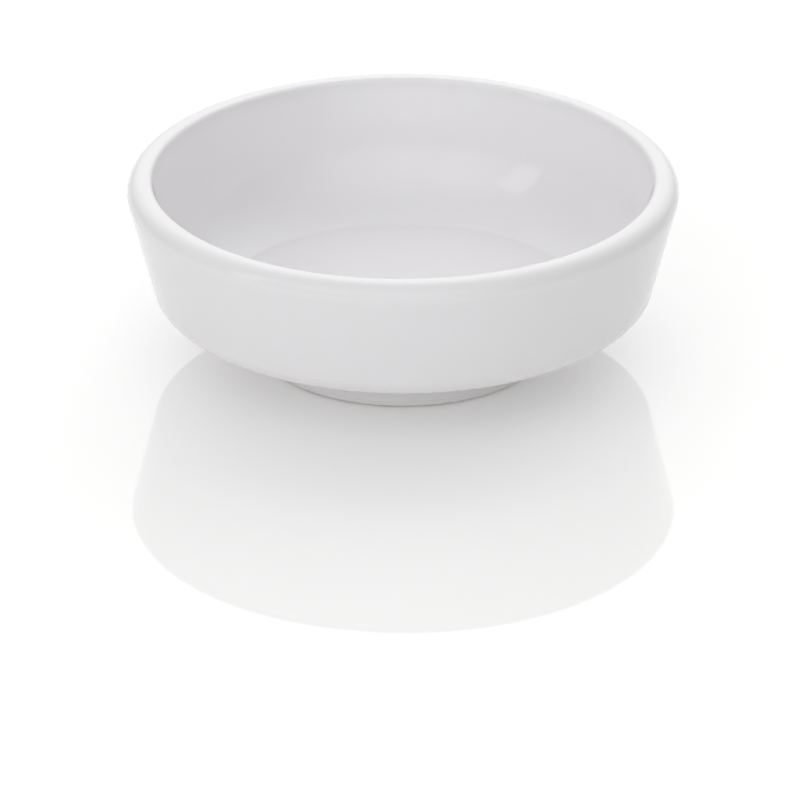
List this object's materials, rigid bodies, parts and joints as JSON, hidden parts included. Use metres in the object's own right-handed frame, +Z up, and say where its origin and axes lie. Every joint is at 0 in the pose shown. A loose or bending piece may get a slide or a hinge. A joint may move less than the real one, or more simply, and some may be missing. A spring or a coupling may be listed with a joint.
{
  "type": "evaporating dish",
  "caption": "Shallow round glazed porcelain dish with a flat floor, a steep wall, a thick rounded rim without a spout and a low foot ring, for evaporating liquids.",
  "frame": {"origin": "centre of the foot ring's standing face", "axes": "+Z up along the dish's axis of revolution; X and Y are equivalent"},
  "size_m": [0.1, 0.1, 0.0344],
  "materials": {
    "porcelain": "bare fired porcelain, matt and fine-grained, seen only at the foot ring",
    "glaze": "clear gloss glaze over white porcelain"
  },
  "bodies": {
    "root": {"porcelain_body": "porcelain", "glaze_coat": "glaze", "foot_recess_glaze": "glaze"}
  },
  "joints": []
}
